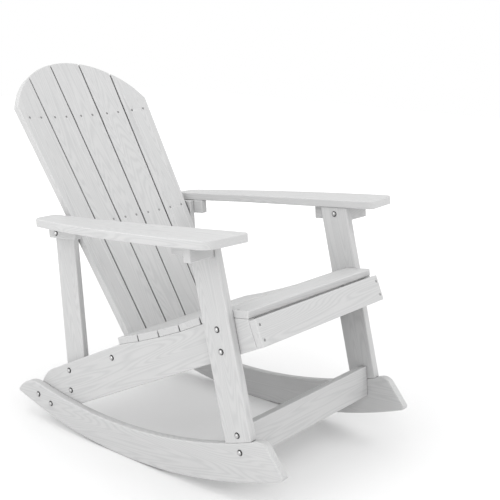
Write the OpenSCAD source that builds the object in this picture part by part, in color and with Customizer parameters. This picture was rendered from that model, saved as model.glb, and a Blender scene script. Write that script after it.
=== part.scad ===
// Rocking garden armchair made of moulded plastic boards that are bolted and screwed together.
// The occupant faces -Y, +X is at the occupant's left, and the chair stands on Z = 0.
// The frame is drawn with level arms and upright rear posts. The whole chair is then tipped
// back by rest_tilt, the angle at which it comes to rest on its two curved rockers.
// Side profiles are written as [y, z] points, with y growing towards the rear.

/* [Boards] */
// Thickness of the frame boards, the arms and the rockers
board_t = 22; // [18:0.5:28]
// Thickness of the rear posts
post_t = 18; // [14:0.5:18]
// Thickness of the slats of the seat and the back
slat_t = 19; // [15:0.5:22]
// Play left between two boards that meet on a curve or end to end
fit_gap = 0.2; // [0.1:0.05:0.4]

/* [Stance] */
// Angle by which the level frame tips back at rest
rest_tilt = 5.45; // [3:0.05:8]
// Width over the outer faces of the two side rails
seat_w = 533; // [510:1:560]

/* [Rockers] */
// Radius of the lower edge that rolls on the floor
rocker_r = 1425; // [1380:5:1480]
// Place of the lowest point of that edge, front to rear
rocker_y = -229; // [-234:1:-224]
// Height of the lowest point of that edge in the level frame
rocker_h = 26; // [22:1:30]
// Depth of the rocker below its upper edge at the middle
rocker_w = 92; // [86:1:96]
// Radius of the upper edge
rocker_top_r = 1465; // [1440:5:1490]
// Place of the lowest point of the upper edge, front to rear
rocker_top_y = -178; // [-182:1:-174]
// Middle of the cut across the front end
rocker_front_y = -623; // [-632:1:-614]
// Slope of the cut across the front end
rocker_front_cut = 55.5; // [52:0.5:60]
// Middle of the cut across the rear end
rocker_rear_y = 319; // [314:1:326]
// Slope of the cut across the rear end
rocker_rear_cut = 48; // [46:0.5:52]
// Rounding of the upper rear corner
rocker_rear_round = 88; // [70:1:90]
// Rounding of the lower rear corner
rocker_heel_round = 5; // [3:0.5:6]
// Rounding of the upper front corner
rocker_nose_round = 32; // [20:1:36]
// Rounding of the lower front corner
rocker_tip_round = 9; // [6:1:12]

/* [Front legs] */
// Width of a front leg across its face
leg_w = 85; // [76:1:92]
// Lean of the front legs towards the rear
leg_lean = 9.5; // [8:0.5:11]
// Place of a leg's centre line at the height of the seat's front edge
leg_y = -463.5; // [-468:0.5:-459]
// Lower bolt of the pair that holds the rail, below the seat's front edge
leg_bolt_drop = 85; // [80:1:90]
// Distance between the two bolts that hold the rail
leg_bolt_pitch = 55; // [45:1:60]

/* [Stretcher] */
// Width of the stretcher between the front legs
stretcher_w = 88; // [80:1:92]
// Middle of the stretcher's thickness, front to rear
stretcher_y = -519; // [-522:0.5:-515]
// Middle height of the stretcher
stretcher_h = 155; // [151:1:158]
// Distance between the leg's bolt and the rocker's bolt in its end
stretcher_bolt_pitch = 43; // [40:1:46]

/* [Seat] */
// Width of a seat slat
seat_slat_w = 76; // [72:0.5:79]
// Gap between neighbouring seat slats
seat_gap = 4.5; // [3:0.5:7]
// Lower front edge of the front slat, front to rear
seat_front_y = -551; // [-556:1:-546]
// Lower front edge of the front slat, height
seat_front_h = 466.5; // [462:0.5:472]
// Rise of each seat slat towards the front, from the front slat to the rear one
seat_slopes = [3, 20.5, 21, 18, 16, 14];

/* [Side rails] */
// Depth of a side rail across its face
rail_w = 121; // [116:1:125]
// Fall of the rail behind the seat
rail_slope = 21.2; // [20:0.2:22]
// Rear end of the rail
rail_rear_y = 263; // [258:1:266]
// Rounding of the rail's rear end
rail_round = 99; // [85:1:105]
// Height of the rail's foot at its rear corner
rail_foot_h = 117.5; // [117:0.5:121]
// Fall of the rail's foot towards the rear
rail_foot_slope = 3.7; // [2:0.1:5]

/* [Front apron] */
// Height of the apron along its face
apron_w = 70; // [64:1:74]
// Lean of the apron, its top towards the rear
apron_lean = 18.5; // [16:0.5:21]
// Drop of the apron's rear upper edge below the front slat
apron_drop = 4; // [3:0.5:8]

/* [Rear posts] */
// Width of a rear post
post_w = 76; // [70:1:80]
// Front edge of a rear post
post_y = 83; // [81:1:86]
// Height of the lower end of a rear post
post_foot_h = 146; // [140:1:152]
// Height of the upper bolt that holds the post to the rail
post_bolt_h = 232; // [228:1:236]
// Distance between the two bolts that hold the post
post_bolt_pitch = 59; // [50:1:60]

/* [Arms] */
// Height of the underside of the arms
arm_h = 652.5; // [640:0.5:662]
// Front edge of an arm at its inner corner
arm_front_y = -567; // [-580:1:-555]
// Rear edge of an arm
arm_rear_y = 158; // [154:1:164]
// Width of an arm at the front
arm_w = 134; // [120:1:144]
// How far an arm's inner edge reaches in past the rail's outer face
arm_reach_in = 4.5; // [2:0.5:8]
// How far the inner edge turns in towards the rear
arm_turn_in = 23; // [16:1:28]
// Place where the inner edge starts to turn in
arm_turn_y = -110; // [-150:5:-60]
// How far the front edge falls back at the outer corner
arm_skew = 14; // [8:1:20]
// Place where the outer edge starts to curve in
arm_curve_y = -470; // [-490:5:-440]
// Radius of the curved outer edge
arm_curve_r = 2550; // [2400:10:2800]
// Rounding of the outer front corner
arm_front_round = 30; // [20:1:40]
// Rounding of the outer rear corner
arm_rear_round = 36; // [20:1:44]
// Rounding of the two inner corners
arm_inner_round = 12; // [6:1:18]

/* [Arm brackets] */
// Height of the plate and the cleat at the top of a front leg
front_bracket_h = 39; // [34:1:44]
// Reach of the plate out from the leg
gusset_reach = 83; // [70:1:90]
// Length of the cleat behind the plate
front_cleat_l = 100; // [92:1:108]
// Height of the cleat beside a rear post
rear_cleat_h = 40; // [38:1:46]
// Length of the cleat beside a rear post
rear_cleat_l = 109; // [102:1:120]

/* [Back] */
// Lean of the back
back_lean = 28.2; // [27.5:0.1:28.8]
// Radius of the hollow across the back
back_curve_r = 1465; // [1350:5:1700]
// Foot of the middle slat's front face, front to rear
back_y = -87.4; // [-89:0.2:-86]
// Foot of the middle slat's front face, height
back_h = 269.3; // [266:0.5:272]
// Length of the middle slat
back_l = 934; // [900:1:960]
// Gap between neighbouring back slats
back_gap = 4.5; // [3.5:0.1:5.5]
// How far the foot of the back stays inside the inner faces of the rear posts
back_foot_in = 31.5; // [24:0.5:40]
// How far the back stands out past those faces at full length
back_head_out = 30.5; // [20:0.5:36]
// Shares of the width that the middle, inner and outer slats take at the foot
foot_shares = [73, 78, 71.5];
// Shares of the width that the middle, inner and outer slats take at full length
head_shares = [105, 98.5, 97];
// How far the circle of the arched head stands out past the back at full length
arch_out = 28; // [16:1:50]

/* [Back rails] */
// Place of the lower rail's middle along the back
low_rail_at = 38.5; // [36:0.5:41]
// Width of the lower rail
low_rail_w = 48; // [44:1:50]
// Front face of the lower rail's ends, behind the middle slat's face
low_rail_in = -6; // [-7:0.5:-5]
// Depth of the lower rail at its ends
low_rail_d = 40; // [36:1:42]
// Place of the middle of the rail at the height of the arms
arm_rail_at = 418; // [412:1:424]
// Width of the rail at the height of the arms
arm_rail_w = 56; // [50:1:60]
// Depth of the rail at the height of the arms
arm_rail_d = 42; // [40:1:44]
// Place of the upper rail's middle along the back
top_rail_at = 754; // [740:1:770]
// Width of the upper rail
top_rail_w = 60; // [50:1:66]
// Depth of the upper rail
top_rail_d = 41; // [38:1:44]
// How far the upper rail's ends stay inside the edges of the back at full length
top_rail_short = 29; // [24:1:31]
// Cut across the upper rail's rear corners
top_rail_cut = 34; // [24:1:36]

/* [Fasteners] */
// Thread diameter of the bolts
bolt_d = 6; // [5:0.5:7]
// Diameter of a bolt's domed head
bolt_head_d = 16.5; // [14:0.5:18]
// Height of a bolt's domed head
bolt_head_h = 4.6; // [3.6:0.2:5.4]
// Depth that a bolt enters the end of a cross board
bolt_reach = 42; // [36:1:48]
// Diameter of a barrel nut
barrel_d = 10; // [9:0.5:12]
// Length of a barrel nut
barrel_l = 14; // [12:0.5:16]
// Width across the flats of a hexagon nut
nut_flats = 10; // [9:0.5:12]
// Height of a hexagon nut
nut_h = 5; // [4:0.5:6]
// Diameter of a washer
washer_d = 14; // [13:0.5:16]
// Thickness of a washer
washer_t = 1.2; // [1:0.1:1.6]
// Play round a bolt in its hole
bolt_play = 0.3; // [0.2:0.05:0.5]
// Shank diameter of the wood screws
screw_d = 4; // [3.5:0.1:4.5]
// Head diameter of the wood screws
screw_head_d = 7.6; // [7:0.1:8.4]
// Height of a wood screw's head
screw_head_h = 2.6; // [2.2:0.1:3]
// How far a screw's head lies below the surface
screw_sink = 0.4; // [0.2:0.1:0.8]
// Length of the screws in the slats
screw_l = 30; // [27:1:32]
// Play round a screw in its hole
screw_play = 0.1; // [0.05:0.05:0.2]
// Distance between the two screws across a back slat
back_screw_pitch = 44; // [36:1:50]
// Distance between the two screws at an end of the apron
apron_screw_pitch = 38; // [30:1:44]

/* [Hidden] */

// Colours of the boards and of the metal
board_colour = "whitesmoke";
metal_colour = "silver";

// Overrun that cuts and masks reach past the boards
over = 5;
// Steps in a rounded corner, in the curved arm edge and round a small fastener
corner_steps = 8;
arm_steps = 12;
small_fn = 24;
// Facets of the long rolling curves
curve_fn = 720;
// Degrees in half a turn
half_turn = 180;

// Faces of the boards across the chair, measured from its middle
rail_out = seat_w / 2;
rail_in = rail_out - board_t;
leg_out = rail_out + board_t;
post_in = rail_in - post_t;
arm_in = rail_out - arm_reach_in;
arm_out = arm_in + arm_w;

// Points and directions in a side profile
function unit(v) = v / norm(v);
function turn_left(v) = [-v[1], v[0]];
function direction(a) = [cos(a), sin(a)];

// Where a line from point along unit dir meets a circle, on the far or near side
function line_meets_circle(point, dir, centre, radius, side) =
    let (q = point - centre, b = q * dir)
    point + dir * (side * sqrt(b * b - q * q + radius * radius) - b);

// The shorter arc about centre from one point to another
function arc_points(centre, from, to, steps = corner_steps) =
    let (
        a = from - centre,
        b = to - centre,
        start = atan2(a[1], a[0]),
        turn = (atan2(b[1], b[0]) - start + 3 * half_turn) % (2 * half_turn) - half_turn
    )
    [for (i = [0 : steps]) centre + norm(a) * direction(start + turn * i / steps)];

// The tangent arc that rounds a convex corner of an outline
function corner(before, at, after, radius) =
    let (
        u = unit(before - at),
        v = unit(after - at),
        half = acos(u * v) / 2,
        centre = at + unit(u + v) * radius / sin(half)
    )
    arc_points(centre, at + u * radius / tan(half), at + v * radius / tan(half));

// Rocker in profile
rocker_centre = [rocker_y, rocker_h + rocker_r];
rocker_top_centre = [rocker_top_y, rocker_h + rocker_w + rocker_top_r];
function rocker_edge_z(centre, radius, y) = centre[1] - sqrt(radius * radius - pow(y - centre[0], 2));
function rocker_mid(y) = [
    y,
    (rocker_edge_z(rocker_centre, rocker_r, y) + rocker_edge_z(rocker_top_centre, rocker_top_r, y)) / 2
];

// Rounding of the corner between an end cut and a long edge of the rocker. The cut runs along
// dir, out points away from the rocker, and grow is 1 where the long edge bulges into it.
function end_fillet(mid, dir, out, centre, radius, grow, r, side) =
    let (
        c = line_meets_circle(mid - out * r, dir, centre, radius + grow * r, side),
        up = unit(c - centre),
        arc = arc_points(c, c + out * r, centre + up * radius)
    )
    // The last point runs just past the long edge, so that the edge is cut and not only touched
    [for (i = [0 : corner_steps]) i < corner_steps ? arc[i] : arc[i] - grow * up * fit_gap];
function reversed(points) = [for (i = [len(points) - 1 : -1 : 0]) points[i]];

front_cut = direction(rocker_front_cut);
front_mid = rocker_mid(rocker_front_y);
rear_cut = direction(half_turn - rocker_rear_cut);
rear_mid = rocker_mid(rocker_rear_y);
nose_arc = end_fillet(front_mid, front_cut, turn_left(front_cut), rocker_top_centre, rocker_top_r, 1,
    rocker_nose_round, -1);
tip_arc = end_fillet(front_mid, front_cut, turn_left(front_cut), rocker_centre, rocker_r, -1,
    rocker_tip_round, -1);
tail_arc = end_fillet(rear_mid, rear_cut, -turn_left(rear_cut), rocker_top_centre, rocker_top_r, 1,
    rocker_rear_round, -1);
heel_arc = end_fillet(rear_mid, rear_cut, -turn_left(rear_cut), rocker_centre, rocker_r, -1,
    rocker_heel_round, -1);

// Front leg in profile
function leg_centre_y(z) = leg_y + (z - seat_front_h) * tan(leg_lean);
leg_half = leg_w / 2 / cos(leg_lean);
leg_bolt_z = seat_front_h - leg_bolt_drop;
stretcher_leg_bolt = [stretcher_y + board_t / 4, stretcher_h + stretcher_bolt_pitch / 2];
stretcher_rocker_bolt = [stretcher_y, stretcher_h - stretcher_bolt_pitch / 2];
stretcher_bolts = [stretcher_leg_bolt, stretcher_rocker_bolt];

// Seat slats as a chain of lower faces, each from its front edge to its rear edge
seat_count = len(seat_slopes);
function falling(a) = [cos(a), -sin(a)];
function seat_start(i) = i == 0
    ? [seat_front_y, seat_front_h]
    : seat_end(i - 1) + seat_gap * falling((seat_slopes[i - 1] + seat_slopes[i]) / 2);
function seat_end(i) = seat_start(i) + seat_slat_w * falling(seat_slopes[i]);
seat_rear = seat_end(seat_count - 1);

// Apron in profile
apron_down = -direction(90 - apron_lean);
apron_back = turn_left(apron_down);
apron_top = [seat_front_y, seat_front_h - apron_drop] + [apron_drop * tan(apron_lean), 0] / 2;
apron_foot = apron_top + apron_down * apron_w;

// Side rail in profile
rail_fall = falling(rail_slope);
rail_low = seat_rear - turn_left(rail_fall) * rail_w;
function rail_low_z(y) = rail_low[1] + (y - rail_low[0]) * rail_fall[1] / rail_fall[0];
rail_tail = seat_rear + rail_fall * (rail_rear_y - seat_rear[0]) / rail_fall[0];
rail_heel = [rail_rear_y, rail_foot_h];
foot_dir = falling(rail_foot_slope);
// Where the foot's line meets the rail's lower edge
rail_toe = let (
        reach = (rail_low_z(rail_rear_y) - rail_foot_h)
            / (rail_fall[1] / rail_fall[0] - foot_dir[1] / foot_dir[0])
    )
    rail_heel - foot_dir * reach / foot_dir[0];
// The lower and upper front corners lie on the apron's rear face
rail_nose_low = apron_top + apron_down * (apron_top[1] - rail_low_z(apron_foot[0])) / -apron_down[1];
rail_nose_top = [
    apron_top[0] + (seat_front_h - apron_top[1]) * tan(apron_lean),
    seat_front_h - (apron_top[0] - seat_front_y) * tan(seat_slopes[0])
];

// Rear post and the two bolts in it
post_rear_y = post_y + post_w;
post_mid_y = post_y + post_w / 2;
post_bolts = [
    [post_mid_y + board_t / 4, post_bolt_h],
    [post_mid_y + board_t / 4, post_bolt_h - post_bolt_pitch]
];
// Two bolts hold the rear end of the rocker to the rail. Their places are shares of the rail's
// rounding, ahead of its end, and of its depth, above its foot.
rear_bolt_shares = [[0.15, 0.245], [0.69, 0.085]];
rocker_rail_bolts = [
    for (share = rear_bolt_shares)
        [rail_rear_y - share[0] * rail_round, rail_foot_h + share[1] * rail_w]
];

// Back slats: middle slat 0, its neighbours 1 and the outer slats 2. The slats share half the
// back's width, less two gaps, so the middle slat counts half. Each slat has the place of its
// inner edge and its outer edge across the unrolled back, at the foot and at full length.
back_half = [post_in - back_foot_in, post_in + back_head_out];
function slat_width(k, half, shares) =
    (half - 2 * back_gap) * shares[k] / (shares[0] / 2 + shares[1] + shares[2]);
function slat_widths(k) = [
    slat_width(k, back_half[0], foot_shares), slat_width(k, back_half[1], head_shares)
];
function slat_inner(k) = k == 0 ? -slat_widths(0) / 2 : slat_outer(k - 1) + [back_gap, back_gap];
function slat_outer(k) = k == 0 ? slat_widths(0) / 2 : slat_inner(k) + slat_widths(k);
arch_r = back_half[1] + arch_out;
function slat_mid(k) = (slat_inner(k)[0] + slat_inner(k)[1] + slat_outer(k)[0] + slat_outer(k)[1]) / 4;
function slat_centre(k, s) = let (a = (slat_inner(k) + slat_outer(k)) / 2) a[0] + (a[1] - a[0]) * s / back_l;
back_rail_places = [low_rail_at, arm_rail_at, top_rail_at];

// A point of the side profile that lies s up the back and p behind the middle slat's front face
function on_back(s, p) = [back_y, back_h] + s * direction(90 - back_lean) + p * falling(back_lean);
// The lower rail's bolt lies a little ahead of the middle of the rail's depth
low_bolt_share = 0.45;
low_rail_bolt = on_back(low_rail_at, low_rail_in + low_bolt_share * low_rail_d);
arm_rail_bolt = on_back(arm_rail_at, arm_rail_d / 2);

// Bracket places under the arms
gusset_y = leg_centre_y(arm_h) - leg_half;
front_cleat_y = gusset_y + board_t;
front_cleat_bolt = [leg_centre_y(arm_h - front_bracket_h / 2), arm_h - front_bracket_h / 2];
rear_cleat_y = post_rear_y - rear_cleat_l;

// Chair profile to resting chair: tip back, set the rockers on the floor, centre the depth
function tipped(p) = [
    p[0] * cos(rest_tilt) + p[1] * sin(rest_tilt),
    p[1] * cos(rest_tilt) - p[0] * sin(rest_tilt)
];
tip_centre = line_meets_circle(front_mid - turn_left(front_cut) * rocker_tip_round, front_cut,
    rocker_centre, rocker_r - rocker_tip_round, -1);
depth_front = tipped(tip_centre)[0] - rocker_tip_round;
depth_rear = tipped(on_back(back_l, slat_t))[0];
floor_z = tipped(rocker_centre)[1] - rocker_r;

module at_rest() {
    translate([0, -(depth_front + depth_rear) / 2, -floor_z])
        rotate([-rest_tilt, 0, 0])
            children();
}

// Left-hand pieces are drawn at +X and mirrored for the right-hand side
module on_side(side) {
    if (side > 0) children();
    else mirror([1, 0, 0]) children();
}

// A side profile made into a board between two faces across the chair
module across(from, to) {
    translate([from, 0, 0])
        rotate([90, 0, 90])
            linear_extrude(to - from)
                children();
}

// A round hole or rod across the chair, at a point of the side profile
module rod(at, from, to, d) {
    across(from, to) translate(at) circle(d = d, $fn = small_fn);
}

module bolt_hole(at, from, to) {
    rod(at, from - over, to + over, bolt_d + 2 * bolt_play);
}

// The hole for a bolt in the end of a cross board
module end_bolt_hole(at, face) {
    rod(at, face - bolt_reach - over, face + over, bolt_d + 2 * bolt_play);
}

module rocker_profile() {
    difference() {
        intersection() {
            translate(rocker_centre) circle(r = rocker_r, $fn = curve_fn);
            polygon(concat(
                reversed(nose_arc), tip_arc,
                [[tip_arc[corner_steps][0], -rocker_r], [heel_arc[corner_steps][0], -rocker_r]],
                reversed(heel_arc), tail_arc,
                [[tail_arc[corner_steps][0], rocker_r], [nose_arc[corner_steps][0], rocker_r]]
            ));
        }
        translate(rocker_top_centre) circle(r = rocker_top_r, $fn = curve_fn);
    }
}

module rocker(side) {
    color(board_colour) at_rest() on_side(side) difference() {
        across(rail_out, leg_out) rocker_profile();
        bolt_hole(stretcher_rocker_bolt, rail_out, leg_out);
        for (at = rocker_rail_bolts) bolt_hole(at, rail_out, leg_out);
    }
}

module front_leg(side) {
    low = rocker_h;
    color(board_colour) at_rest() on_side(side) difference() {
        across(rail_out, leg_out) intersection() {
            polygon([
                [leg_centre_y(low) - leg_half, low], [leg_centre_y(low) + leg_half, low],
                [leg_centre_y(arm_h) + leg_half, arm_h], [leg_centre_y(arm_h) - leg_half, arm_h]
            ]);
            translate(rocker_top_centre) circle(r = rocker_top_r - fit_gap, $fn = curve_fn);
        }
        for (at = concat(leg_bolts, [stretcher_leg_bolt, front_cleat_bolt]))
            bolt_hole(at, rail_out, leg_out);
    }
}

leg_bolts = [
    for (z = [leg_bolt_z, leg_bolt_z + leg_bolt_pitch * cos(leg_lean)]) [leg_centre_y(z), z]
];

module side_rail(side) {
    tail = corner(seat_rear, rail_tail, rail_heel, rail_round);
    color(board_colour) at_rest() on_side(side) difference() {
        across(rail_in, rail_out) polygon(concat(
            [rail_nose_low, rail_nose_top],
            [for (i = [0 : seat_count - 1], p = i == 0 ? [seat_end(0)] : [seat_start(i), seat_end(i)]) p],
            tail, [rail_heel, rail_toe]
        ));
        for (at = concat(leg_bolts, rocker_rail_bolts, post_bolts)) bolt_hole(at, rail_in, rail_out);
        bolt_hole(low_rail_bolt, rail_in, rail_out);
        seat_screw_set(screw_play);
        apron_screw_set(screw_play);
    }
}

module rear_post(side) {
    color(board_colour) at_rest() on_side(side) difference() {
        translate([post_in, post_y, post_foot_h]) cube([post_t, post_w, arm_h - post_foot_h]);
        for (at = post_bolts) bolt_hole(at, post_in, rail_in);
        bolt_hole(arm_rail_bolt, post_in, rail_in);
    }
}

function arm_outer_x(y) =
    arm_out - arm_curve_r + sqrt(arm_curve_r * arm_curve_r - pow(y - arm_curve_y, 2));

module arm_outline() {
    front_in = [arm_in, arm_front_y];
    front_out = [arm_out, arm_front_y + arm_skew];
    edge = [
        for (i = [0 : arm_steps])
            let (y = arm_curve_y + (arm_rear_y - arm_curve_y) * i / arm_steps) [arm_outer_x(y), y]
    ];
    rear_out = edge[arm_steps];
    rear_in = [arm_in - arm_turn_in, arm_rear_y];
    turn = [arm_in, arm_turn_y];
    polygon(concat(
        corner(turn, front_in, front_out, arm_inner_round),
        corner(front_in, front_out, edge[0], arm_front_round),
        [for (i = [0 : arm_steps - 1]) edge[i]],
        corner(edge[arm_steps - 1], rear_out, rear_in, arm_rear_round),
        corner(rear_out, rear_in, turn, arm_inner_round),
        [turn]
    ));
}

module arm(side) {
    color(board_colour) at_rest() on_side(side) difference() {
        translate([0, 0, arm_h]) linear_extrude(board_t) arm_outline();
        arm_screw_set(screw_play);
    }
}

module arm_gusset(side) {
    color(board_colour) at_rest() on_side(side) difference() {
        translate([leg_out, gusset_y, arm_h - front_bracket_h])
            cube([gusset_reach, board_t, front_bracket_h]);
        arm_screw_set(screw_play);
    }
}

module front_cleat(side) {
    color(board_colour) at_rest() on_side(side) difference() {
        translate([leg_out, front_cleat_y, arm_h - front_bracket_h])
            cube([board_t, front_cleat_l, front_bracket_h]);
        bolt_hole(front_cleat_bolt, leg_out, leg_out + board_t);
        arm_screw_set(screw_play);
    }
}

module rear_cleat(side) {
    color(board_colour) at_rest() on_side(side) difference() {
        translate([rail_in, rear_cleat_y, arm_h - rear_cleat_h])
            cube([board_t, rear_cleat_l, rear_cleat_h]);
        bolt_hole(arm_rail_bolt, rail_in, rail_out);
        arm_screw_set(screw_play);
    }
}

// Draws with x across the chair, y down the slope of seat slat i and z up from its lower face
module on_seat_slat(i) {
    translate([0, seat_start(i)[0], seat_start(i)[1]]) rotate([-seat_slopes[i], 0, 0]) children();
}

module seat_slat(i) {
    half = rail_out - fit_gap;
    color(board_colour) at_rest() difference() {
        on_seat_slat(i) translate([-half, 0, 0]) cube([2 * half, seat_slat_w, slat_t]);
        for (side = [-1, 1]) on_side(side) seat_screw_set(screw_play);
    }
}

module front_apron() {
    color(board_colour) at_rest() difference() {
        across(-rail_out, rail_out) polygon([
            apron_top, apron_foot, apron_foot - apron_back * board_t, apron_top - apron_back * board_t
        ]);
        for (side = [-1, 1]) on_side(side) apron_screw_set(screw_play);
    }
}

module leg_stretcher() {
    color(board_colour) at_rest() difference() {
        translate([-rail_out, stretcher_y - board_t / 2, stretcher_h - stretcher_w / 2])
            cube([2 * rail_out, board_t, stretcher_w]);
        for (side = [-1, 1], at = stretcher_bolts) on_side(side) {
            end_bolt_hole(at, rail_out);
            barrel_hole(at, rail_out, stretcher_y + board_t / 2 - at[0], 0);
        }
    }
}

// Draws with x across the back, y behind the middle slat's front face and z up from its foot
module on_back_plane() {
    translate([0, back_y, back_h]) rotate([-back_lean, 0, 0]) children();
}

// Draws in the plane of slat k of the left-hand half, with x measured along the unrolled back
module on_back_slat(k) {
    angle = slat_mid(k) / back_curve_r * half_turn / PI;
    on_back_plane() translate([0, -back_curve_r, 0]) rotate([0, 0, -angle])
        translate([-slat_mid(k), back_curve_r, 0]) children();
}

// Outline of slat k across the unrolled back, widened by grow at each edge
module slat_outline(k, grow) {
    a = slat_inner(k) - [grow, grow];
    b = slat_outer(k) + [grow, grow];
    intersection() {
        polygon([[a[0], 0], [b[0], 0], [b[1], back_l], [a[1], back_l]]);
        union() {
            translate([0, back_l - arch_r]) circle(r = arch_r, $fn = curve_fn);
            translate([-arch_r, 0]) square([2 * arch_r, back_l - arch_r]);
        }
    }
}

// A board in the plane of slat k, from the depth near to the depth far
module slat_board(k, near, far, grow = 0) {
    on_back_slat(k) translate([0, far, 0]) rotate([90, 0, 0])
        linear_extrude(far - near) slat_outline(k, grow);
}

module back_slat(k, side) {
    color(board_colour) at_rest() on_side(side) difference() {
        slat_board(k, 0, slat_t);
        for (s = back_rail_places) back_screw_pair(k, s, screw_play);
    }
}

// A rail behind the back, hollowed so that every slat lies flat against it
module back_rail(at, w, from, to, half) {
    difference() {
        on_back_plane() translate([-half, from, at - w / 2]) cube([2 * half, to - from, w]);
        for (side = [-1, 1], k = [0 : 2]) on_side(side) {
            slat_board(k, from - board_t, slat_t, back_gap / 2);
            back_screw_pair(k, at, screw_play);
        }
    }
}

module lower_back_rail() {
    color(board_colour) at_rest() difference() {
        back_rail(low_rail_at, low_rail_w, low_rail_in, low_rail_in + low_rail_d, rail_in);
        for (side = [-1, 1]) on_side(side) {
            end_bolt_hole(low_rail_bolt, rail_in);
            barrel_hole(low_rail_bolt, rail_in, (1 - low_bolt_share) * low_rail_d, back_lean);
        }
    }
}

module arm_back_rail() {
    color(board_colour) at_rest() difference() {
        back_rail(arm_rail_at, arm_rail_w, 0, arm_rail_d, post_in);
        for (side = [-1, 1]) on_side(side) {
            end_bolt_hole(arm_rail_bolt, post_in);
            barrel_hole(arm_rail_bolt, post_in, arm_rail_d / 2, back_lean);
        }
    }
}

// The upper rail's rear corners are cut off, so that they don't show beside the outer slats
module upper_back_rail() {
    half = back_half[1] - top_rail_short;
    side_far = half + over;
    cut_near = top_rail_d - top_rail_cut - over;
    cut_in = half - top_rail_cut - over;
    color(board_colour) at_rest() intersection() {
        back_rail(top_rail_at, top_rail_w, 0, top_rail_d, half);
        on_back_plane() linear_extrude(back_l) polygon([
            [-side_far, -board_t], [side_far, -board_t], [side_far, cut_near],
            [cut_in, top_rail_d + over], [-cut_in, top_rail_d + over], [-side_far, cut_near]
        ]);
    }
}

// A barrel nut lies across the end of its bolt, with its axis square to the board's rear face
module on_barrel(at, face, slope) {
    translate([face - bolt_reach + barrel_d / 2, at[0], at[1]]) rotate([-90 - slope, 0, 0]) children();
}

module barrel_hole(at, face, depth, slope) {
    on_barrel(at, face, slope) translate([0, 0, -barrel_l / 2])
        cylinder(d = barrel_d + 2 * bolt_play, h = barrel_l / 2 + depth + over, $fn = small_fn);
}

module barrel_nut(at, face, slope) {
    difference() {
        on_barrel(at, face, slope) translate([0, 0, -barrel_l / 2])
            cylinder(d = barrel_d, h = barrel_l, $fn = small_fn);
        end_bolt_hole(at, face);
    }
}

// A bolt whose domed head sits on the face at the end of its shank
module bolt(at, tip, face) {
    dome_r = (bolt_head_h * bolt_head_h + bolt_head_d * bolt_head_d / 4) / (2 * bolt_head_h);
    rod(at, tip, face, bolt_d);
    translate([face, at[0], at[1]]) rotate([0, 90, 0]) rotate_extrude($fn = small_fn) intersection() {
        square([bolt_head_d / 2, bolt_head_h]);
        translate([0, bolt_head_h - dome_r]) circle(r = dome_r, $fn = 4 * small_fn);
    }
}

// Through bolts reach past the washer and the nut on the far face
bolt_tail = washer_t + nut_h + washer_t;

module both_sides() {
    for (side = [-1, 1]) on_side(side) children();
}

module rocker_bolts() {
    color(metal_colour) at_rest() both_sides() {
        for (at = rocker_rail_bolts) bolt(at, rail_in - bolt_tail, leg_out);
        bolt(stretcher_rocker_bolt, rail_out - bolt_reach, leg_out);
    }
}

module frame_bolts() {
    color(metal_colour) at_rest() both_sides() {
        for (at = leg_bolts) bolt(at, rail_in - bolt_tail, leg_out);
        for (at = post_bolts) bolt(at, post_in - bolt_tail, rail_out);
        inward_bolt(front_cleat_bolt, leg_out + board_t + bolt_tail, rail_out);
    }
}

// The bolt that holds the front cleat has its head on the inner face of the leg
module inward_bolt(at, tip, face) {
    mirror([1, 0, 0]) bolt(at, -tip, -face);
}

module cross_bolts() {
    color(metal_colour) at_rest() both_sides() {
        bolt(stretcher_leg_bolt, rail_out - bolt_reach, leg_out);
        bolt(low_rail_bolt, rail_in - bolt_reach, rail_out);
        bolt(arm_rail_bolt, post_in - bolt_reach, rail_out);
    }
}

module barrel_nuts() {
    color(metal_colour) at_rest() both_sides() {
        for (at = stretcher_bolts) barrel_nut(at, rail_out, 0);
        barrel_nut(low_rail_bolt, rail_in, back_lean);
        barrel_nut(arm_rail_bolt, post_in, back_lean);
    }
}

// A ring round a bolt, from the depth near to the depth far
module washer(at, near, far) {
    difference() {
        rod(at, near, far, washer_d);
        bolt_hole(at, near, far);
    }
}

module nut(at, near, far) {
    difference() {
        across(near, far) translate(at) circle(d = nut_flats / cos(30), $fn = 6);
        bolt_hole(at, near, far);
    }
}

module bolt_washers() {
    color(metal_colour) at_rest() both_sides() {
        for (at = concat(leg_bolts, rocker_rail_bolts)) washer(at, rail_in - washer_t, rail_in);
        for (at = post_bolts) washer(at, post_in - washer_t, post_in);
        washer(front_cleat_bolt, leg_out + board_t, leg_out + board_t + washer_t);
    }
}

module bolt_nuts() {
    color(metal_colour) at_rest() both_sides() {
        for (at = concat(leg_bolts, rocker_rail_bolts))
            nut(at, rail_in - washer_t - nut_h, rail_in - washer_t);
        for (at = post_bolts) nut(at, post_in - washer_t - nut_h, post_in - washer_t);
        nut(front_cleat_bolt, leg_out + board_t + washer_t, leg_out + board_t + washer_t + nut_h);
    }
}

// A countersunk wood screw that points down from the surface at Z = 0. With play it is its own
// hole, which is open to the surface.
module screw(length, play) {
    shank = screw_d + 2 * play;
    head = screw_head_d + 2 * play;
    translate([0, 0, -length - play])
        cylinder(d = shank, h = length + play - screw_sink, $fn = small_fn);
    translate([0, 0, -screw_sink - screw_head_h])
        cylinder(d1 = shank, d2 = head, h = screw_head_h, $fn = small_fn);
    if (play > 0) translate([0, 0, -screw_sink])
        cylinder(d = head, h = screw_sink + over, $fn = small_fn);
}

// Screws that hold the seat slats down on the left-hand rail
module seat_screw_set(play) {
    for (i = [0 : seat_count - 1])
        on_seat_slat(i) translate([rail_in + board_t / 2, seat_slat_w / 2, slat_t]) screw(screw_l, play);
}

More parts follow.
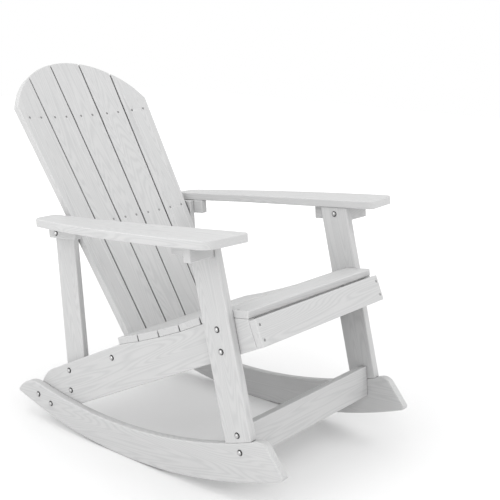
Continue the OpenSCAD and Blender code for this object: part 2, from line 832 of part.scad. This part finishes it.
// Screws that hold the left-hand end of the apron to the end of the rail
module apron_screw_set(play) {
    mid = (apron_top + apron_foot) / 2 - apron_back * board_t;
    for (side = [-1, 1]) {
        at = mid + apron_down * side * apron_screw_pitch / 2;
        translate([rail_in + board_t / 2, at[0], at[1]]) rotate([90 - apron_lean, 0, 0])
            screw(screw_l + board_t / 2, play);
    }
}

// The two screws that hold back slat k of the left-hand half to the rail at s
module back_screw_pair(k, s, play) {
    for (side = [-1, 1])
        on_back_slat(k) translate([slat_centre(k, s) + side * back_screw_pitch / 2, 0, s])
            rotate([90, 0, 0]) screw(screw_l, play);
}

// Screws driven up through the brackets into the left-hand arm, at shares of each bracket's length
gusset_screw_shares = [0.35, 0.8];
front_cleat_screw_shares = [0.35, 0.85];
rear_cleat_screw_shares = [0.2, 0.5];
module arm_screw_set(play) {
    for (share = gusset_screw_shares)
        arm_screw([leg_out + share * gusset_reach, gusset_y + board_t / 2], front_bracket_h, play);
    for (share = front_cleat_screw_shares)
        arm_screw(
            [leg_out + board_t / 2, front_cleat_y + share * front_cleat_l], front_bracket_h, play);
    for (share = rear_cleat_screw_shares)
        arm_screw([rail_in + board_t / 2, rear_cleat_y + share * rear_cleat_l], rear_cleat_h, play);
}

module arm_screw(at, bracket_h, play) {
    translate([at[0], at[1], arm_h - bracket_h]) rotate([180, 0, 0]) screw(bracket_h + board_t / 2, play);
}

module seat_screws() {
    color(metal_colour) at_rest() both_sides() seat_screw_set(0);
}

module back_screws() {
    color(metal_colour) at_rest() {
        for (s = back_rail_places) {
            back_screw_pair(0, s, 0);
            both_sides() for (k = [1, 2]) back_screw_pair(k, s, 0);
        }
    }
}

module apron_screws() {
    color(metal_colour) at_rest() both_sides() apron_screw_set(0);
}

module arm_screws() {
    color(metal_colour) at_rest() both_sides() arm_screw_set(0);
}

rocker(1);  // left_rocker
rocker(-1);  // right_rocker
front_leg(1);  // left_front_leg
front_leg(-1);  // right_front_leg
side_rail(1);  // left_side_rail
side_rail(-1);  // right_side_rail
rear_post(1);  // left_rear_post
rear_post(-1);  // right_rear_post
arm(1);  // left_arm
arm(-1);  // right_arm
arm_gusset(1);  // left_arm_gusset
arm_gusset(-1);  // right_arm_gusset
front_cleat(1);  // left_front_cleat
front_cleat(-1);  // right_front_cleat
rear_cleat(1);  // left_rear_cleat
rear_cleat(-1);  // right_rear_cleat
seat_slat(0);  // seat_slat_1
seat_slat(1);  // seat_slat_2
seat_slat(2);  // seat_slat_3
seat_slat(3);  // seat_slat_4
seat_slat(4);  // seat_slat_5
seat_slat(5);  // seat_slat_6
front_apron();
leg_stretcher();
back_slat(2, -1);  // back_slat_1
back_slat(1, -1);  // back_slat_2
back_slat(0, 1);  // back_slat_3
back_slat(1, 1);  // back_slat_4
back_slat(2, 1);  // back_slat_5
lower_back_rail();
arm_back_rail();
upper_back_rail();
rocker_bolts();
frame_bolts();
cross_bolts();
barrel_nuts();
bolt_nuts();
bolt_washers();
seat_screws();
back_screws();
apron_screws();
arm_screws();
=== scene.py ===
# %% [markdown]
# # A rocking garden armchair of moulded plastic boards
#
# The chair's boards and bolts come as a finished solid model, already in place and in metres.
# This lesson dresses that model: a camera, a pale studio, a plastic with an embossed wood grain
# for every board, rounded edges, and plain steel for the bolts and screws. The solid model is
# loaded first and is never moved, so everything that follows is measured from it.

# %% Load the solid model
import math
import bpy
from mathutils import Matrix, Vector

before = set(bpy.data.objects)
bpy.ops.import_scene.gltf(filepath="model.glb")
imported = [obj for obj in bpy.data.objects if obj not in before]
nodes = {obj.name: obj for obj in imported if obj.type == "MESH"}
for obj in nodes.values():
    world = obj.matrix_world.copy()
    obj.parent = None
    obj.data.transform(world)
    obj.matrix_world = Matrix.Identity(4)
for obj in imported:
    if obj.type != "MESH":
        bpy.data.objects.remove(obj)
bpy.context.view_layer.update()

# %% [markdown]
# ## The camera
#
# A photograph is fixed by where the camera stood, which way it looked, how long its lens was and
# where the lens's axis met the picture. These were found by matching the chair's known straight
# edges to the picture, so here they are simply set. The picture was cropped off centre, which
# the two lens shifts repeat. Lengths in the picture are counted in its pixels.

# %% Set the camera
picture_width = 500
optical_centre = (279.31, 254.62)
focal_in_pixels = 943.7
lens_data = bpy.data.cameras.new("studio_camera")
lens_data.sensor_width = 36
lens_data.lens = focal_in_pixels * lens_data.sensor_width / picture_width
lens_data.shift_x = (picture_width / 2 - optical_centre[0]) / picture_width
lens_data.shift_y = (optical_centre[1] - picture_width / 2) / picture_width
camera = bpy.data.objects.new("studio_camera", lens_data)
camera.location = (-1.90527, -1.75966, 1.17119)
camera.rotation_euler = (1.32221, -0.02825, -0.91139)
bpy.context.scene.collection.objects.link(camera)
bpy.context.scene.camera = camera
print("lens:", round(lens_data.lens, 2), "mm")

# %% [markdown]
# ## The studio
#
# The picture was taken in a white studio where light comes from everywhere, a little more of it
# from above and from the front. A plain white world gives that even light and the white
# background. Large soft lamps add the rest, each far too weak to cast a hard shadow. All of them
# look at the middle of the chair. Lamps and world are told apart by trying: a lamp that is moved
# or dimmed changes one side of the boards, and the world changes all sides.

# %% Light the studio
scene = bpy.context.scene
scene.view_settings.view_transform = "Standard"
studio = bpy.data.worlds.new("white_studio")
studio.use_nodes = True
studio.node_tree.nodes["Background"].inputs["Color"].default_value = (1, 1, 1, 1)
studio.node_tree.nodes["Background"].inputs["Strength"].default_value = 1.0
scene.world = studio
chair_middle = Vector((0, 0, 0.4))


def soft_lamp(name, place, size, watts):
    lamp = bpy.data.lights.new(name, "AREA")
    lamp.shape = "SQUARE"
    lamp.size = size
    lamp.energy = watts
    holder = bpy.data.objects.new(name, lamp)
    holder.location = place
    holder.rotation_euler = (chair_middle - Vector(place)).to_track_quat("-Z", "Y").to_euler()
    scene.collection.objects.link(holder)


soft_lamp("lamp_above", (-0.6, 0.3, 3.6), size=2.5, watts=24)
soft_lamp("lamp_left", (-2.8, 0.5, 2.6), size=1.4, watts=8)
soft_lamp("lamp_front_left", (-2.2, -2.4, 2.6), size=1.6, watts=19)
soft_lamp("lamp_front_right", (2.0, -2.6, 2.6), size=1.6, watts=24)
soft_lamp("lamp_behind", (-0.6, 3.0, 2.8), size=1.6, watts=15)
soft_lamp("lamp_low_left", (-3.2, 0.2, 0.9), size=1.4, watts=16)
print("lamps:", len(bpy.data.lights))

# %% [markdown]
# ## The floor sheet
#
# The chair stands on the lowest points of its two rockers, at height zero. The floor is one flat
# sheet at that height, so large that its ends never show.

# %% Lay the floor
reach = 9.0
floor_corners = [(-reach, -reach, 0), (reach, -reach, 0), (reach, reach, 0), (-reach, reach, 0)]
floor_mesh = bpy.data.meshes.new("studio_floor")
floor_mesh.from_pydata(floor_corners, [], [(0, 1, 2, 3)])
floor = bpy.data.objects.new("studio_floor", floor_mesh)
scene.collection.objects.link(floor)
print("floor:", 2 * reach, "m square")

# %% [markdown]
# ## Writing materials as sums
#
# A material is a net of small nodes. Drawn by hand such a net soon gets hard to read, so here one
# small class stands for the end of a wire. Adding or multiplying two wires adds the Math node
# that does it, and `put` adds any other node: its type, its settings, then what goes into its
# sockets. `beside` is another output of the node that the wire comes from. A finish then reads
# like a few lines of school maths.

# %% A wire that can be added and multiplied


class Wire:
    def __init__(self, tree, socket):
        self.tree = tree
        self.socket = socket

    def put(self, kind, settings=None, values=None, out=0):
        node = self.tree.nodes.new(kind)
        for name, value in (settings or {}).items():
            if name == "stops":
                ramp = node.color_ramp.elements
                while len(ramp) < len(value):
                    ramp.new(1.0)
                for stop, (place, tone) in zip(ramp, value):
                    stop.position = place
                    stop.color = (tone, tone, tone, 1)
            else:
                setattr(node, name, value)
        for name, value in (values or {}).items():
            if isinstance(value, Wire):
                self.tree.links.new(value.socket, node.inputs[name])
            else:
                node.inputs[name].default_value = value
        return Wire(self.tree, node.outputs[out])

    def beside(self, out):
        return Wire(self.tree, self.socket.node.outputs[out])

    def math(self, operation, first, second=0.0):
        return self.put("ShaderNodeMath", {"operation": operation}, {0: first, 1: second})

    def __add__(self, other):
        return self.math("ADD", self, other)

    def __radd__(self, other):
        return self.math("ADD", other, self)

    def __sub__(self, other):
        return self.math("SUBTRACT", self, other)

    def __rsub__(self, other):
        return self.math("SUBTRACT", other, self)

    def __mul__(self, other):
        return self.math("MULTIPLY", self, other)

    def __rmul__(self, other):
        return self.math("MULTIPLY", other, self)

    def __truediv__(self, other):
        return self.math("DIVIDE", self, other)

    def __rtruediv__(self, other):
        return self.math("DIVIDE", other, self)

    def along(self, direction):
        return self.put(
            "ShaderNodeVectorMath", {"operation": "DOT_PRODUCT"}, {0: self, 1: direction}, out="Value"
        )

    def curve(self, stops):
        return self.put("ShaderNodeValToRGB", {"stops": stops}, {"Fac": self})


# %% [markdown]
# ## Three helpers for every finish
#
# A new material starts with its shader and with the wire of places, which says where on the chair
# a point lies. Colours can't go through Math nodes, which would turn them grey, so they are mixed
# by a mask instead: where the mask is 0 the first colour shows, and where it is 1 the second. The
# last helper plugs finished wires into the shader.

# %% Start, mix and plug in


def grey(tone):
    return (tone, tone, tone, 1)


def new_material(name):
    material = bpy.data.materials.new(name)
    material.use_nodes = True
    tree = material.node_tree
    shader = tree.nodes["Principled BSDF"]
    place = Wire(tree, tree.nodes.new("ShaderNodeTexCoord").outputs["Object"])
    return material, shader, place


def mix_colours(mask, first, second):
    return mask.put(
        "ShaderNodeMix", {"data_type": "RGBA"}, {"Factor": mask, 6: first, 7: second}, out=2
    )


def plug_in(shader, wires):
    for socket_name, wire in wires.items():
        wire.tree.links.new(wire.socket, shader.inputs[socket_name])


# %% [markdown]
# ## The floor's white
#
# The floor is matt and very pale. It takes the chair's shadow and throws light back up under the
# seat, which is why the undersides of the boards aren't black. A faint mottling keeps it from
# being a single flat colour. In a studio the sheet curves up into a lit backdrop. Here a little
# glow, which grows with the distance from the chair, makes the far floor melt into the white
# world. Its stops are shares of the floor's reach, each with the glow there.

# %% Paint the floor
glow_stops = [(0.09, 0.05), (0.16, 0.13), (0.3, 0.4)]
floor_white, floor_shader, floor_place = new_material("studio_floor_white")
mottle = floor_place.put("ShaderNodeTexNoise", {}, {"Vector": floor_place, "Scale": 1.5})
distance = floor_place.put("ShaderNodeVectorMath", {"operation": "LENGTH"}, {0: floor_place}, out="Value")
plug_in(
    floor_shader,
    {
        "Base Color": mix_colours(mottle, grey(0.76), grey(0.78)),
        "Emission Color": (distance / reach).curve(glow_stops),
    },
)
floor_shader.inputs["Emission Strength"].default_value = 1.0
floor_shader.inputs["Roughness"].default_value = 0.9
floor_shader.inputs["Specular IOR Level"].default_value = 0.1
floor_mesh.materials.append(floor_white)
print("floor painted:", floor_white.name)

# %% [markdown]
# ## An embossed wood grain
#
# Each board is extruded plastic whose skin is pressed with a wood pattern: long wavy lines that
# follow the board, close into narrow arches here and there, and carry short fine streaks. Sawn
# wood shows such lines because the cut passes through the tree's rings at a slant. The same idea
# makes them here: a smooth random height is stretched along the board and then sliced at even
# steps, like the contour lines on a map.
#
# The pattern has to run along every board, so the helper is told the board's own directions. A
# seed moves the pattern, because no two boards are alike.

# %% The grain of one board
lines_along, lines_across = 0.9, 12.0
slices_in_height = 56.0
streaks_along, streaks_across = 9.0, 190.0
seed_step = 7.3
groove_profile = [(0.0, 0.0), (0.35, 0.55), (0.75, 1.0)]


def pressed_grain(place, length_way, width_way, seed):
    depth_way = length_way.cross(width_way)
    length, width, depth = place.along(length_way), place.along(width_way), place.along(depth_way)

    def stretched_noise(along, across, shift, detail, roughness):
        stretched = place.put(
            "ShaderNodeCombineXYZ", {}, {0: length * along, 1: width * across, 2: depth * across + shift}
        )
        return place.put(
            "ShaderNodeTexNoise",
            {},
            {"Vector": stretched, "Scale": 1.0, "Detail": detail, "Roughness": roughness},
        )

    height = stretched_noise(lines_along, lines_across, seed * seed_step, detail=1.5, roughness=0.45)
    slices = height * slices_in_height
    rings = slices.math("SINE", slices * math.tau) * 0.5 + 0.5
    streaks = stretched_noise(streaks_along, streaks_across, seed, detail=2.0, roughness=0.6)
    return rings.curve(groove_profile) * 0.5 + streaks * 0.5


# %% [markdown]
# ## The plastic of the boards
#
# The plastic is a pale grey white and a little glossy. Three things change it from place to
# place. The grain's shallow grooves drive a bump, and a little dirt and shade in them darkens the
# colour by a few percent. The boards' edges get a painted highlight, a paler colour where a
# rounded edge would catch the light: a Bevel node gives the direction that a rounded edge would
# face, and where it differs from the face's own direction, there is an edge. Last, the seams where
# two boards meet get painted shade, nearly black, standing in for the shadow inside them. An
# Ambient Occlusion node finds them by how open each point is within a few millimetres. The
# painted shade comes last, so a seam stays dark although it runs along a painted highlight.

# %% The finish of one board
groove_white, skin_white = (0.448, 0.45, 0.452, 1), grey(0.505)
# painted highlight for the rounded edges, and painted shade for the seams between boards
painted_edge_highlight, painted_seam_shade = grey(0.62), grey(0.02)
edge_highlight_width = 0.005
seam_shade_reach = 0.012
grain_depth = 0.0005


def grain_material(name, length_way, width_way, seed):
    material, shader, place = new_material(name)
    surface = pressed_grain(place, length_way, width_way, seed)
    skin = mix_colours(surface.curve([(0.15, 0.0), (0.8, 1.0)]), groove_white, skin_white)

    rounded = place.put("ShaderNodeBevel", {"samples": 6}, {"Radius": edge_highlight_width})
    # painted highlight: the colour turns paler along the rounded edges
    edges = (1 - rounded.along(place.beside("Normal"))).curve([(0.004, 0.0), (0.1, 1.0)])
    skin_with_edge_highlight = mix_colours(edges, skin, painted_edge_highlight)

    # painted shade: the colour turns near black where two boards meet closely
    openness = place.put("ShaderNodeAmbientOcclusion", {"samples": 8}, {"Distance": seam_shade_reach}, out="AO")
    outside_seam_shade = openness.curve([(0.1, 0.0), (0.35, 0.6), (0.5, 1.0)])

    normal = place.put(
        "ShaderNodeBump",
        {},
        {"Strength": 0.4, "Distance": grain_depth, "Height": surface, "Normal": rounded},
    )
    plug_in(
        shader,
        {
            "Base Color": mix_colours(outside_seam_shade, painted_seam_shade, skin_with_edge_highlight),
            "Roughness": 0.62 - surface * 0.14,
            "Normal": normal,
        },
    )
    shader.inputs["Specular IOR Level"].default_value = 0.4
    return material


# %% [markdown]
# ## Which way each board runs
#
# In the side view most boards lean or fall by an angle of their own, and the chair as a whole
# leans back on its rockers by a few degrees more. Two helpers turn such an angle, in degrees,
# into a direction. Boards that cross the chair simply run along X. Each board gets two
# directions, the one along its length and the one across its broad face.

# %% Directions of the boards
rest_tilt = 5.45
leg_lean, apron_lean, back_lean = 9.5, 18.5, 28.2
rail_fall = 21.2
seat_falls = (3, 20.5, 21, 18, 16, 14)
across_chair = Vector((1, 0, 0))


def leaning(angle):
    turn = math.radians(angle + rest_tilt)
    return Vector((0, math.sin(turn), math.cos(turn)))


def falling(angle):
    turn = math.radians(angle + rest_tilt)
    return Vector((0, math.cos(turn), -math.sin(turn)))


paired_boards = {
    "rocker": (falling(0), leaning(0)),
    "front_leg": (leaning(leg_lean), falling(leg_lean)),
    "side_rail": (falling(rail_fall), leaning(rail_fall)),
    "rear_post": (leaning(0), falling(0)),
    "arm": (falling(0), across_chair),
    "arm_gusset": (across_chair, leaning(0)),
    "front_cleat": (falling(0), leaning(0)),
    "rear_cleat": (falling(0), leaning(0)),
}
board_ways = {
    f"{side}_{kind}": ways for kind, ways in paired_boards.items() for side in ("left", "right")
}
for number, fall in enumerate(seat_falls, 1):
    board_ways[f"seat_slat_{number}"] = (across_chair, falling(fall))
for number in range(1, 6):
    board_ways[f"back_slat_{number}"] = (leaning(back_lean), across_chair)
for name in ("lower_back_rail", "arm_back_rail", "upper_back_rail"):
    board_ways[name] = (across_chair, leaning(back_lean))
board_ways["front_apron"] = (across_chair, leaning(apron_lean))
board_ways["leg_stretcher"] = (across_chair, leaning(0))
print("boards:", len(board_ways))

# %% [markdown]
# ## One material for each board
#
# All boards are the same plastic, but the grain's directions and its seed differ from board to
# board, so each board gets a material of its own from the same recipe. The boards are taken in
# alphabetical order, so that each keeps its seed and its pattern every time the script runs.

# %% Give every board its grain
for seed, (name, (length_way, width_way)) in enumerate(sorted(board_ways.items())):
    board = nodes[name]
    board.data.materials.clear()
    board.data.materials.append(grain_material(f"grain_{name}", length_way, width_way, seed))
print("board finishes:", len(board_ways))

# %% [markdown]
# ## Which edges to round
#
# An extruded board has no knife edges: its long edges come out of the die rounded, and its sawn
# ends are eased with a cutter. The solid model leaves them sharp, and sharp edges catch no light.
# A bevel modifier can round them without touching the stored mesh.
#
# The rims of the screw holes must stay as they are, because the steps inside a hole are smaller
# than the rounding and its faces would fold over there. A hole's rim is made of very short edges,
# so a little net of nodes marks only the edges that are long, steep and turned outward, and the
# bevel follows the marks. The class that writes materials writes this net as well.

# %% Mark the edges to round


def edge_marker(shortest, least_angle):
    tree = bpy.data.node_groups.new("mark_board_edges", "GeometryNodeTree")
    for way in ("INPUT", "OUTPUT"):
        tree.interface.new_socket("Geometry", in_out=way, socket_type="NodeSocketGeometry")
    board = Wire(tree, tree.nodes.new("NodeGroupInput").outputs[0])
    start = board.put("GeometryNodeInputMeshEdgeVertices", out="Position 1")
    end = start.beside("Position 2")
    span = board.put("ShaderNodeVectorMath", {"operation": "DISTANCE"}, {0: start, 1: end}, out="Value")
    angle = board.put("GeometryNodeInputMeshEdgeAngle", out="Signed Angle")
    long_enough = span.math("GREATER_THAN", span, shortest)
    steep_enough = angle.math("GREATER_THAN", angle, least_angle)
    marked = board.put(
        "GeometryNodeStoreNamedAttribute",
        {"data_type": "FLOAT", "domain": "EDGE"},
        {"Geometry": board, "Name": "bevel_weight_edge", "Value": long_enough * steep_enough},
    )
    tree.links.new(marked.socket, tree.nodes.new("NodeGroupOutput").inputs[0])
    return tree


# %% [markdown]
# ## Rounded edges
#
# First a weld joins points that lie on top of each other, or the bevel would tear the board open
# there. The rockers hold no screws and their small heel needs every edge, so there the bevel goes
# by angle alone. The three back rails have so many narrow facets that no rounding fits them, so
# only their material softens their edges. The bevel's loop slide stays off, because on a face
# made of triangles it lets the new points run off along the triangles' long sides.

# %% Round the edges of the boards
board_round = 0.002
same_point = 0.00002
shortest_edge = 0.001
least_angle = math.radians(40)
marker = edge_marker(shortest_edge, least_angle)
rounded_boards = [name for name in board_ways if not name.endswith("back_rail")]
for name in rounded_boards:
    board = nodes[name]
    board.modifiers.new("join_points", "WELD").merge_threshold = same_point
    by_angle = name.endswith("rocker")
    if not by_angle:
        board.modifiers.new("mark_edges", "NODES").node_group = marker
    rounding = board.modifiers.new("round_edges", "BEVEL")
    rounding.limit_method = "ANGLE" if by_angle else "WEIGHT"
    rounding.angle_limit = least_angle
    rounding.width = board_round
    rounding.segments = 3
    rounding.use_clamp_overlap = False
    rounding.loop_slide = False
print("rounded boards:", len(rounded_boards), "by", round(board_round * 1000, 1), "mm")

# %% [markdown]
# ## Tumbled steel
#
# The bolts are plain stainless steel with low domed heads. Tumbled steel isn't a mirror: tiny
# scratches run every way and blur what it reflects. A fine noise in the roughness and a very
# shallow bump do that, and a slow change of tone keeps the heads from looking alike. Round its steep
# rim each head gets a painted reflection, a dark ring in its colour like the darker surroundings it
# would mirror. The rim is where the surface no longer faces sideways, so the sideways part of its
# direction serves as the mask.

# %% The steel
scratches_per_metre = 900.0
patches_per_metre = 45.0
scratch_depth = 0.0001


def steel_material(name, tone, rim_reflection_tone, polish):
    material, shader, place = new_material(name)
    scratches = place.put(
        "ShaderNodeTexNoise", {}, {"Vector": place, "Scale": scratches_per_metre, "Detail": 3.0}
    )
    patches = place.put("ShaderNodeTexNoise", {}, {"Vector": place, "Scale": patches_per_metre})
    facing = place.beside("Normal").along(across_chair)
    sideways = facing.math("ABSOLUTE", facing)
    # painted reflection: the colour darkens towards the steep rim of each head
    tone_with_rim_reflection = sideways.curve([(0.7, rim_reflection_tone), (0.84, tone * 0.8), (1.0, tone)])
    normal = place.put(
        "ShaderNodeBump", {}, {"Strength": 0.25, "Distance": scratch_depth, "Height": scratches}
    )
    plug_in(
        shader,
        {
            "Base Color": mix_colours(tone_with_rim_reflection * (0.85 + patches * 0.3), grey(0), grey(1)),
            "Roughness": polish + scratches * 0.2,
            "Normal": normal,
        },
    )
    shader.inputs["Metallic"].default_value = 1.0
    return material


# %% [markdown]
# ## Bolts, nuts, washers and screws
#
# The big bolt heads are bright, with a painted dark reflection round the rim. Nuts and washers
# are duller, with a much fainter painted rim. The screws sink into the boards, where little light
# reaches them, and have a rough zinc look. The last word of a node's name says which of these it holds.

# %% Give the fasteners their steel
head_steel = steel_material("bolt_head_steel", tone=0.55, rim_reflection_tone=0.02, polish=0.16)
nut_steel = steel_material("nut_steel", tone=0.5, rim_reflection_tone=0.4, polish=0.22)
screw_steel = steel_material("screw_steel", tone=0.34, rim_reflection_tone=0.26, polish=0.4)
steels = {"bolts": head_steel, "nuts": nut_steel, "washers": nut_steel, "screws": screw_steel}
for name in sorted(set(nodes) - set(board_ways)):
    nodes[name].data.materials.clear()
    nodes[name].data.materials.append(steels[name.split("_")[-1]])
    print("steel:", name)
